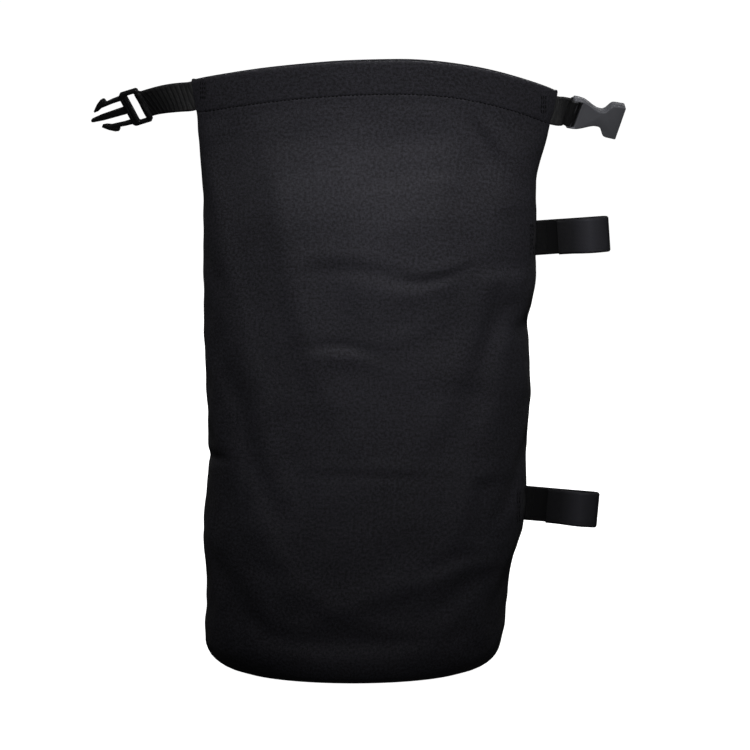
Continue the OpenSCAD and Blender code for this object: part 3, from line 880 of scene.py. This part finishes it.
# ---------------------------------------------------------------- stitches
def stitch_mesh(points, tangents, normals, length=2.5, r=0.45, dip=0.45):
    """Short lengths of thread that dive into the cloth at both ends."""
    V, F, UV = [], [], []
    ks = np.linspace(-1, 1, 9)
    m = 7
    for p, t, n in zip(points, tangents, normals):
        t = t / np.linalg.norm(t)
        b = np.cross(t, n)
        b /= np.linalg.norm(b)
        n = np.cross(b, t)
        start = len(V)
        for k in ks:
            rad = r * (1 - 0.55 * abs(k) ** 3)
            c = p + t * (k * length / 2) + n * (0.22 - dip * abs(k) ** 3)
            for a in range(m):
                th = 2 * math.pi * a / m
                V.append(c + rad * (math.cos(th) * b * 1.15 + math.sin(th) * n))
                UV.append((k * length / 2 * MM, a / m))
        for i in range(len(ks) - 1):
            for a in range(m):
                q = (a + 1) % m
                F.append((start + i * m + a, start + (i + 1) * m + a, start + (i + 1) * m + q, start + i * m + q))
        F.append(tuple(start + a for a in range(m)))
        F.append(tuple(start + (len(ks) - 1) * m + a for a in range(m))[::-1])
    return np.array(V) * MM, F, np.array(UV)


def along_line(L, N, pitch, lead=4.0):
    """Evenly spaced places on a polyline."""
    s = np.concatenate([[0], np.cumsum(np.linalg.norm(np.diff(L, axis=0), axis=1))])
    at = np.arange(lead, s[-1] - lead, pitch)
    P = np.stack([np.interp(at, s, L[:, k]) for k in range(3)], -1)
    Q = np.stack([np.interp(at + 0.4, s, L[:, k]) for k in range(3)], -1)
    M = np.stack([np.interp(at, s, N[:, k]) for k in range(3)], -1)
    return P, Q - P, M / np.linalg.norm(M, axis=1, keepdims=True)


def hem_stitches(F, side, name, node):
    row = ROWS_A + 2                      # the groove's lowest row
    n = normals_of(F, False)
    if n[row, F.shape[1] // 2] @ np.array([0, side, 0]) < 0:
        n = -n
    P, T, N = along_line(F[row], n[row], 3.4, 5.0)
    v1, f1, u1 = stitch_mesh(P, T, N)
    # the same thread on the hem's inner side
    r2 = F.shape[0] - 3
    P2, T2, N2 = along_line(F[r2], n[r2], 3.4, 14.0)
    v2, f2, u2 = stitch_mesh(P2, T2, N2)
    f2 = [tuple(i + len(v1) for i in q) for q in f2]
    ob = put(name, np.concatenate([v1, v2]), f1 + f2, np.concatenate([u1, u2]), M_THREAD)
    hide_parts(node)
    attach(ob, "roll_top")


hem_stitches(F_FRONT, -1, "front_hem_thread", "front_hem_stitching")
hem_stitches(F_BACK, 1, "back_hem_thread", "back_hem_stitching")



# ---------------------------------------------------------------- webbing and buckle
def frame_of(bar, turn):
    """Axes of a buckle half: out along it, up along its width, and through it."""
    rx, ry, rz = (math.radians(t) for t in turn)
    cx, sx_, cy, sy_, cz, sz_ = math.cos(rx), math.sin(rx), math.cos(ry), math.sin(ry), math.cos(rz), math.sin(rz)
    Rx = np.array([[1, 0, 0], [0, cx, -sx_], [0, sx_, cx]])
    Ry = np.array([[cy, 0, sy_], [0, 1, 0], [-sy_, 0, cy]])
    Rz = np.array([[cz, -sz_, 0], [sz_, cz, 0], [0, 0, 1]])
    R = Rz @ Ry @ Rx
    return np.array(bar, float), R


BAR_L, ROT_L = frame_of((-177, 8, 487.3), (-24.6, 18.7, 158.85))
BAR_R, ROT_R = frame_of((186.7, 2, 481.8), (22, 12.65, 13.1))


def from_local(P, bar, R):
    return np.asarray(P, float) @ R.T + bar


def unit(v):
    return v / np.linalg.norm(v, axis=-1, keepdims=True)


def tape_mesh(name, C, W, width, thick, mat, rib=0.0, pitch=3.8, lean=0.25, edge=0.5, seg=26, phase=0.0):
    """A woven tape along points C with its width along W, closed, with rounded edges and raised ribs."""
    C = np.asarray(C, float)
    s = np.concatenate([[0], np.cumsum(np.linalg.norm(np.diff(C, axis=0), axis=1))])
    n_ = int(max(8, s[-1] / 0.55))
    at = np.linspace(0, s[-1], n_)
    Cs = np.stack([np.interp(at, s, C[:, k]) for k in range(3)], -1)
    for _ in range(2):
        Cs[1:-1] = (Cs[:-2] + 2 * Cs[1:-1] + Cs[2:]) / 4
    Ws = unit(np.stack([np.interp(at, s, np.asarray(W)[:, k]) for k in range(3)], -1))
    T = unit(np.gradient(Cs, axis=0))
    Ws = unit(Ws - (Ws * T).sum(1, keepdims=True) * T)
    N = np.cross(T, Ws)
    # cross-section: flat faces with round edges
    tt = np.linspace(-1, 1, seg)
    sec = []
    for w in tt:
        a = abs(w) * width / 2 - (width / 2 - edge)
        h = math.sqrt(max(0.0, 1 - (max(0, a) / edge) ** 2))
        sec.append((w * width / 2, thick / 2 * h))
    sec[0] = (-width / 2, 0.0)
    sec[-1] = (width / 2, 0.0)
    loop = sec + [(x, -h) for x, h in sec[-2:0:-1]]
    V, UV = [], []
    for i in range(n_):
        for j, (x, h) in enumerate(loop):
            r = 0.0
            if rib and h:
                r = rib * math.sin(2 * math.pi * (at[i] + lean * x + phase) / pitch) * min(1, (width / 2 - abs(x)) / 1.2)
                r *= 1 if h > 0 else 0.7
            sign = 1 if h > 0 else (-1 if h < 0 else 0)
            V.append(Cs[i] + Ws[i] * x + N[i] * (h + sign * r))
            UV.append((at[i], x if h >= 0 else 60 - x))
    m = len(loop)
    F = [(i * m + j, i * m + (j + 1) % m, (i + 1) * m + (j + 1) % m, (i + 1) * m + j) for i in range(n_ - 1) for j in range(m)]
    F.append(tuple(range(m))[::-1])
    F.append(tuple((n_ - 1) * m + j for j in range(m)))
    ob = put(name, np.array(V) * MM, F, np.array(UV) * MM, mat)
    import bmesh
    bm = bmesh.new()
    bm.from_mesh(ob.data)
    bmesh.ops.recalc_face_normals(bm, faces=bm.faces)
    bm.to_mesh(ob.data)
    bm.free()
    return ob


def web_path(root, start, bar, R, side, reach, off, r=2.72):
    """Middle line of one layer of webbing from inside the hem, round the bar and back; off is half the doubling."""
    a, up = R[:, 0], R[:, 2]
    e = bar - 3.4 * a
    p0 = np.array(root) + np.array([side * 0.7, 0, 0])
    p1 = e - reach * a
    us = np.linspace(0, 1, 30)[:, None]
    B = (1 - us) ** 2 * p0 + 2 * us * (1 - us) * p1 + us ** 2 * e
    D = unit(2 * (1 - us) * (p1 - p0) + 2 * us * (e - p1))
    k = us * us * (3 - 2 * us)
    W = (1 - k) * np.array([0, 0, 1.0]) + k * up
    W = unit(W - (W * D).sum(1, keepdims=True) * D)
    N = np.cross(D, W)
    inside = np.linspace(0, 1, 8)[:-1, None]
    S = np.array(start) + (p0 - np.array(start)) * inside
    Ws = np.repeat([[0, 0, 1.0]], len(S), 0)
    Ns = np.repeat(N[:1], len(S), 0)
    line = np.concatenate([S, B])
    Wl = np.concatenate([Ws, W])
    Nl = np.concatenate([Ns, N])
    # round the bar
    thr = np.cross(a, up)
    ph = np.linspace(0.80 * math.pi / 2 + math.pi / 2, -(0.80 * math.pi / 2 + math.pi / 2), 26)
    sgn = 1 if (N[-1] @ thr) > 0 else -1
    loop = np.array([bar + r * (math.cos(t) * a + sgn * math.sin(t) * thr) for t in ph])
    return np.concatenate([line + Nl * off, loop, (line - Nl * off)[::-1]]), \
        np.concatenate([Wl, np.repeat([up], len(loop), 0), Wl[::-1]])


def left_web():
    C, W = web_path((-137.4, 0, 495), (-128.5, 0, 497), BAR_L, ROT_L, -1, 18, 0.66)
    ob = tape_mesh("left_web_tape", C, W, 25.0, 1.25, M_WEB, rib=0.15, pitch=3.9, lean=0.22)
    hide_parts("left_webbing")
    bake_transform(ob)
    return ob


def right_web():
    C, W = web_path((175.1, 0, 482.5), (166, 0, 484.5), BAR_R, ROT_R, 1, 3, 0.66, r=4.3)
    ob = tape_mesh("right_web_tape", C, W, 25.0, 1.5, M_WEB, rib=0.06, pitch=3.6, lean=-0.2, edge=0.7)
    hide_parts("right_webbing")
    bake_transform(ob)
    return ob


left_web()
right_web()


def hem_tacks(name, node, x0, z0, F):
    """Upright rows of stitches through the hem over the end of the webbing."""
    n = normals_of(F, False)
    G = F[ROWS_A - 30: ROWS_A + len(HEM_UP)]
    Nn = n[ROWS_A - 30: ROWS_A + len(HEM_UP)]
    if Nn[0, F.shape[1] // 2, 1] > 0:
        Nn = -Nn
    flat = G.reshape(-1, 3)
    nf = Nn.reshape(-1, 3)
    P, T, N = [], [], []
    for i in range(3):
        for j in range(4):
            x, z = x0 + 1.8 * i, z0 + 4 * (j - 1.5)
            d = (flat[:, 0] - x) ** 2 + (flat[:, 2] - z) ** 2
            k = np.argsort(d)[:4]
            w = 1 / (d[k] + 0.05)
            P.append((flat[k] * w[:, None]).sum(0) / w.sum() * np.array([0, 1, 0]) + np.array([x, 0, z]))
            N.append((nf[k] * w[:, None]).sum(0) / w.sum())
            T.append(np.array([0, 0, 1.0]))
    v, f, u = stitch_mesh(P, T, N, length=3.0, r=0.38)
    ob = put(name, v, f, u, M_THREAD)
    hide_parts(node)
    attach(ob, "roll_top")


hem_tacks("left_tack_thread", "left_webbing_tack", -128.0, 501, F_FRONT)
hem_tacks("right_tack_thread", "right_webbing_tack", 161.0, 489, F_FRONT)


def slab(name, outline, thick, bar, R, mat, holes=(), bevel=0.5, y0=0.0, seg=3):
    """A moulded plate: an outline in its own X and Z, thick along Y, with rounded edges."""
    cu = bpy.data.curves.new(name, "CURVE")
    cu.dimensions = "2D"
    cu.fill_mode = "BOTH"
    for loop in [outline, *holes]:
        sp = cu.splines.new("POLY")
        sp.points.add(len(loop) - 1)
        for p, (x, z) in zip(sp.points, loop):
            p.co = (x, z, 0, 1)
        sp.use_cyclic_u = True
    cu.extrude = thick / 2 - bevel
    cu.bevel_depth = bevel
    cu.bevel_resolution = seg
    cu.offset = -bevel
    tmp = bpy.data.objects.new(name + "_tmp", cu)
    bpy.context.scene.collection.objects.link(tmp)
    me = bpy.data.meshes.new_from_object(tmp)
    bpy.data.objects.remove(tmp)
    bpy.data.curves.remove(cu)
    n = len(me.vertices)
    co = np.empty(n * 3)
    me.vertices.foreach_get("co", co)
    co = co.reshape(-1, 3)
    loc = np.stack([co[:, 0], -co[:, 2] + y0, co[:, 1]], -1)
    me.vertices.foreach_set("co", (from_local(loc, bar, R) * MM).reshape(-1))
    import bmesh
    bm = bmesh.new()
    bm.from_mesh(me)
    bmesh.ops.remove_doubles(bm, verts=bm.verts, dist=2e-6)
    bmesh.ops.recalc_face_normals(bm, faces=bm.faces)
    bm.to_mesh(me)
    bm.free()
    me.name = name
    me.materials.clear()
    me.materials.append(mat)
    ob = bpy.data.objects.new(name, me)
    bpy.context.scene.collection.objects.link(ob)
    me.update()
    me.set_sharp_from_angle(angle=math.radians(38))
    me.polygons.foreach_set("use_smooth", [True] * len(me.polygons))
    return ob


def round_poly(P, r, steps=4):
    """Corners of a closed outline rounded by r (one value or one per corner)."""
    out = []
    n = len(P)
    P = [np.array(p, float) for p in P]
    for i, p in enumerate(P):
        a, b = P[i - 1], P[(i + 1) % n]
        ri = r[i] if isinstance(r, (list, tuple)) else r
        u, v = unit(a - p), unit(b - p)
        c = float(u @ v)
        half_ang = math.acos(max(-1, min(1, c))) / 2
        d = min(ri / max(1e-6, math.tan(half_ang)), 0.45 * np.linalg.norm(a - p), 0.45 * np.linalg.norm(b - p))
        if d < 0.05:
            out.append(tuple(p))
            continue
        p1, p2 = p + u * d, p + v * d
        for t in np.linspace(0, 1, steps + 1):
            q = (1 - t) ** 2 * p1 + 2 * t * (1 - t) * p + t * t * p2
            out.append(tuple(q))
    return out


def join(name, *obs):
    """Puts several meshes into one object."""
    import bmesh
    bm = bmesh.new()
    for o in obs:
        bm.from_mesh(o.data)
    me = bpy.data.meshes.new(name)
    bm.to_mesh(me)
    bm.free()
    mat = obs[0].data.materials[0]
    for o in obs:
        bpy.data.objects.remove(o)
    me.materials.append(mat)
    ob = bpy.data.objects.new(name, me)
    bpy.context.scene.collection.objects.link(ob)
    return ob


def male_half():
    bar, R = BAR_L, ROT_L
    outer = round_poly([(-1.2, -15.3), (0, -16.5), (15, -16.5), (17.2, -14.5), (17.2, 14.5), (15, 16.5), (0, 16.5), (-1.2, 15.3)],
                       [0.6, 2.0, 2.0, 1.4, 1.4, 2.0, 2.0, 0.6], 5)
    # the slot for the webbing is open round the bar
    hole = round_poly([(2.6, -13.2), (10.6, -13.2), (10.6, 13.2), (2.6, 13.2)], 1.2, 4)
    body = slab("male_body", outer, 4.6, bar, R, M_MALE, holes=[hole], bevel=0.7)
    guide = slab("male_guide", round_poly([(16.2, -3.4), (40, -2.6), (49.5, -1.5), (51, -0.8), (51, 0.8), (49.5, 1.5), (40, 2.6), (16.2, 3.4)],
                                          [0, 1, 1, 0.6, 0.6, 1, 1, 0], 4), 3.2, bar, R, M_MALE, bevel=0.5)
    rib1 = slab("male_rib", round_poly([(11.8, -11.5), (12.9, -11.5), (12.9, 11.5), (11.8, 11.5)], 0.4, 3), 5.4, bar, R, M_MALE, bevel=0.3)
    rib2 = slab("male_rib2", round_poly([(14.4, -10.0), (15.4, -10.0), (15.4, 10.0), (14.4, 10.0)], 0.4, 3), 5.4, bar, R, M_MALE, bevel=0.3)
    ob = join("male_half", body, guide, rib1, rib2)
    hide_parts("male_buckle_frame")
    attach(ob, "male_buckle")
    P = [(16.6, 10.2), (16.6, 13.9), (24, 13.4), (30, 12.6), (30.6, 15.6), (32, 16.2), (35, 15.6), (40, 12.4), (44.5, 8.2),
         (44, 7), (40, 7.4), (36, 9.2), (31, 9.6), (24, 10.2)]
    rr = [0.3, 0.6, 3, 0.6, 0.5, 0.8, 3, 4, 0.7, 0.7, 3, 3, 3, 3]
    for nm, sgn, node, body_ in (("male_prong_up", 1, "male_buckle_upper_prong", "male_upper_prong"),
                                 ("male_prong_low", -1, "male_buckle_lower_prong", "male_lower_prong")):
        Q = round_poly(P, rr, 4)
        Q = [(x, sgn * z) for x, z in Q]
        if sgn < 0:
            Q = Q[::-1]
        main = slab(nm + "_a", Q, 4.2, bar, R, M_MALE, bevel=0.55)
        grip = slab(nm + "_b", [(x, sgn * z) for x, z in round_poly([(31.5, 12.4), (31.9, 14.9), (34.6, 14.4), (38.6, 11.9), (38.0, 10.6)], 0.5, 3)][::sgn],
                    5.0, bar, R, M_MALE, bevel=0.35)
        o = join(nm, main, grip)
        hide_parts(node)
        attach(o, body_)


male_half()


def female_half():
    bar, R = BAR_R, ROT_R
    # half outline, upper side, from the bar's end to the socket's mouth
    L = 43.6
    waist = curve([[4, 13.75], [7, 13.3], [11, 11.9], [15, 9.9], [19, 8.0], [22, 7.05], [25, 6.9], [27.4, 7.9],
                   [29.4, 10.6], [31.0, 13.4], [32.6, 14.9], [34.5, 15.4], [L, 15.75]])
    xs_ = np.concatenate([np.linspace(4, 33, 34), [34.5, 37, 40, 42.6]])
    up = [(-1.75, 12.9), (-0.9, 13.8)] + [(float(x), float(waist(x))) for x in xs_] + [(43.3, 15.5), (L, 14.9)]
    lo = [(x, -z) for x, z in up[::-1]]
    outline = up[::-1] + [(x, z) for x, z in lo[::-1]]
    # as plates: two faces, a middle with the socket cut through to the mouth, and the bar end
    slot_hole = round_poly([(2.0, -12.6), (5.6, -12.6), (5.6, 12.6), (2.0, 12.6)], 0.8, 3)
    face = [p for p in outline]
    top = slab("fem_top", face, 2.2, bar, R, M_FEMALE, holes=[slot_hole], bevel=0.75, y0=3.7)
    bot = slab("fem_bottom", face, 2.2, bar, R, M_FEMALE, holes=[slot_hole], bevel=0.75, y0=-3.7)
    # middle layer: outline outside, socket outline inside, open at the mouth
    inner_up = [(L, 12.8), (34.6, 12.7), (32.6, 12.0), (31.0, 10.2), (29.4, 7.6), (27.4, 5.5), (25, 4.7), (22, 4.8),
                (19, 5.7), (15.6, 7.4), (13.4, 8.2)]
    # outer loop: mouth upper corner round by the bar to the mouth's lower corner, then back along the socket
    outer = [(x, z) for x, z in up[::-1]] + [(x, -z) for x, z in up]
    sock = [(x, -z) for x, z in inner_up] + [(x, z) for x, z in inner_up[::-1]]
    middle = slab("fem_mid", outer + sock, 6.4, bar, R, M_FEMALE, bevel=0.45,
                  holes=[slot_hole])
    ob = join("female_half", top, bot, middle)
    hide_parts("female_buckle")
    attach(ob, "female_buckle")


female_half()


# ---------------------------------------------------------------- side straps
def side_strap(which, root, tilt, reach, tail_l=41.0):
    t = math.radians(tilt)
    ax = np.array([math.cos(t), 0, -math.sin(t)])
    upv = np.array([math.sin(t), 0, math.cos(t)])
    org = np.array([root[0], 0, root[1]])

    def at(u, y):
        return org + ax * u + np.array([0, y, 0])

    T, FY, FR = 1.45, -4.3, 5.1
    rm = FR - T / 2                       # the middle line's radius in the bend
    lean = math.radians(5.6)
    sew = 9.0
    # middle line: from inside the seam along the layer
    y_layer = 0.0
    u0, u1 = -sew, reach - FR
    us = np.linspace(u0, u1, 70)
    lay = [at(u, y_layer + 0.22 * math.sin(u / 8.0 + 0.6) * float(smooth(6, 16, u) * smooth(u1, u1 - 10, u))) for u in us]
    n_half = 14
    cy = FY
    apex_r = rm
    first = [at(u1 + apex_r * 1.0 * math.sin(a), cy + (y_layer - cy) * math.cos(a)) for a in np.linspace(0, math.pi / 2, n_half)][1:]
    # second half of the bend swings a little past, so the tail leans in
    ty = -9.4 + T / 2 + 0.15
    second = [at(u1 + apex_r * math.sin(a), cy + (ty - cy) * -math.cos(a)) for a in np.linspace(math.pi / 2, math.pi + lean * 0.6, n_half)][1:]
    e = second[-1]
    e_u = float((e - org) @ ax)
    e_y = e[1]
    tail = [at(e_u - s * math.cos(lean), e_y + s * math.sin(lean) - 3.0 * math.sin(math.pi * min(1.0, s / (tail_l - 14))) ** 1.0
               * math.exp(-s / 60)) for s in np.linspace(0.8, tail_l - 2, 60)]
    A = np.array(lay[:50])                # rides from the seam to the middle of the layer
    B = np.array(lay[49:] + first + second + tail)
    WA, WB = np.repeat([upv], len(A), 0), np.repeat([upv], len(B), 0)
    a = tape_mesh(which + "_strap_root", A, WA, 30.0, T, M_STRAP, rib=0.0, pitch=1.7, lean=0.1, edge=0.6)
    b = tape_mesh(which + "_strap_fold", B, WB, 30.0, T, M_STRAP_U if which == "upper" else M_STRAP_L, rib=0.0, pitch=1.7, lean=0.1, edge=0.6)
    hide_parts(which + "_strap")
    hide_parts(which + "_strap_tail")
    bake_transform(a)
    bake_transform(b)
    return at, upv


UP_AT, UP_V = side_strap("upper", (158.95, 374.0), -4.0, 60.5)
LO_AT, LO_V = side_strap("lower", (148.25, 144.0), 5.0, 63.0)


for node, mat, sl in (("upper_strap_pile", M_PILE, "pile"), ("lower_strap_pile", M_PILE, "pile"),
                      ("upper_strap_hook", M_HOOK, "hook"), ("lower_strap_hook", M_HOOK, "hook")):
    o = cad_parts[node]
    o.data.materials.clear()
    o.data.materials.append(mat)


def stiffener(F, side, name, node):
    """The flat strip inside the hem, seen only from the ends."""
    cols = np.arange(5, F.shape[1] - 5)
    p = (P_ALL[np.arange(0, NH + 1)] if side < 0 else np.concatenate([P_ALL[NH:], [2 * math.pi]]))[cols]
    hz, rr = rim_of(p) - HEM, rim_of(p)
    rows = []
    for t in np.linspace(0, 1, 6):
        q = ring(p, hz + 3.2 + t * (HEM - 6.6), side)
        q[:, 1] -= side * 1.75
        q[:, 1] = side * np.maximum(side * q[:, 1], 0.35)
        rows.append(q)
    C = np.array(rows)
    Nn = np.zeros_like(C)
    Nn[..., 1] = side
    uv = C[..., [0, 2]] * MM
    ob = strip_solid(name, C, Nn, 0.5, M_STIFF, uv)
    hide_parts(node)
    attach(ob, "roll_top")


stiffener(F_FRONT, -1, "front_stiff_strip", "front_stiffener")
stiffener(F_BACK, 1, "back_stiff_strip", "back_stiffener")


def seam_tacks(which, root):
    """Two rows of stitches through the cloth over the strap's sewn end, at the front."""
    n = normals_of(F_FRONT, False)
    if n[60, F_FRONT.shape[1] // 2, 1] > 0:
        n = -n
    flat = F_FRONT[:ROWS_A].reshape(-1, 3)
    nf = n[:ROWS_A].reshape(-1, 3)
    P, T, N = [], [], []
    for i in range(2):
        for j in range(7):
            x, z = root[0] - 7 + 1.8 * i, root[1] + 4 * (j - 3)
            d = (flat[:, 0] - x) ** 2 + (flat[:, 2] - z) ** 2
            k = np.argsort(d)[:4]
            w = 1 / (d[k] + 0.05)
            P.append((flat[k] * w[:, None]).sum(0) / w.sum())
            N.append((nf[k] * w[:, None]).sum(0) / w.sum())
            T.append(np.array([0, 0, 1.0]))
    v, f, u = stitch_mesh(P, T, N, length=2.9, r=0.36)
    ob = put(which + "_strap_thread", v, f, u, M_THREAD)
    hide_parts(which + "_strap_tack")
    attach(ob, "bag")


seam_tacks("upper", (158.95, 374.0))
seam_tacks("lower", (148.25, 144.0))


# ---------------------------------------------------------------- studio
def flat_material(name, colour, glow):
    m = Nodes(name)
    n = m.noise(m.object(), 3.0, 2.0)
    m.put(m.bsdf.inputs["Base Color"], m.mix(n, tuple(c * 0.995 for c in colour), colour))
    m.bsdf.inputs["Roughness"].default_value = 0.9
    m.bsdf.inputs["Emission Color"].default_value = (1, 1, 1, 1)
    m.bsdf.inputs["Emission Strength"].default_value = glow
    m.bsdf.inputs["Specular IOR Level"].default_value = 0.0
    return m.mat


def studio():
    floor = put("floor", [(-9, -9, -0.0012), (9, -9, -0.0012), (9, 9, -0.0012), (-9, 9, -0.0012)], [(0, 1, 2, 3)], None,
                flat_material("pale_floor", (0.8, 0.8, 0.8), 1.02))
    # the floor is bright to look at but throws no light up on the black cloth
    floor.visible_diffuse = False
    floor.visible_glossy = False
    w = bpy.data.worlds.new("white")
    bpy.context.scene.world = w
    w.use_nodes = True
    t = w.node_tree
    bg = t.nodes["Background"]
    path = t.nodes.new("ShaderNodeLightPath")
    span = t.nodes.new("ShaderNodeMapRange")
    span.inputs["To Min"].default_value = 0.022
    span.inputs["To Max"].default_value = 1.05
    t.links.new(path.outputs["Is Camera Ray"], span.inputs["Value"])
    t.links.new(span.outputs[0], bg.inputs["Strength"])
    bg.inputs["Color"].default_value = (1, 1, 1, 1)

    def area(name, loc, at, size, power):
        li = bpy.data.lights.new(name, "AREA")
        li.shape = "RECTANGLE"
        li.size, li.size_y = size
        li.energy = power
        ob = bpy.data.objects.new(name, li)
        bpy.context.scene.collection.objects.link(ob)
        ob.location = loc
        ob.rotation_euler = (Vector(at) - Vector(loc)).to_track_quat("-Z", "Y").to_euler()
        return ob

    def spot(name, loc, at, angle, power, radius):
        li = bpy.data.lights.new(name, "SPOT")
        li.spot_size = math.radians(angle)
        li.spot_blend = 1.0
        li.shadow_soft_size = radius
        li.energy = power
        ob = bpy.data.objects.new(name, li)
        bpy.context.scene.collection.objects.link(ob)
        ob.location = loc
        ob.rotation_euler = (Vector(at) - Vector(loc)).to_track_quat("-Z", "Y").to_euler()

    spot("key", (0.045, -1.0, 1.75), (0.036, 0, 0.375), 17.5, 175, 0.16)
    area("fill", (0.0, -1.6, 0.9), (0.03, 0, 0.3), (0.6, 0.5), 3.0)
    area("side_light", (1.3, -1.0, 0.5), (0.16, 0, 0.3), (0.2, 0.8), 1.9)
    area("rim_light", (-1.6, 0.5, 1.2), (0.02, 0, 0.3), (0.5, 1.0), 1.6)
    area("back_light", (0.25, 1.7, 1.0), (0.02, 0, 0.3), (0.8, 0.6), 18)
    bpy.context.scene.view_settings.view_transform = "Standard"


studio()
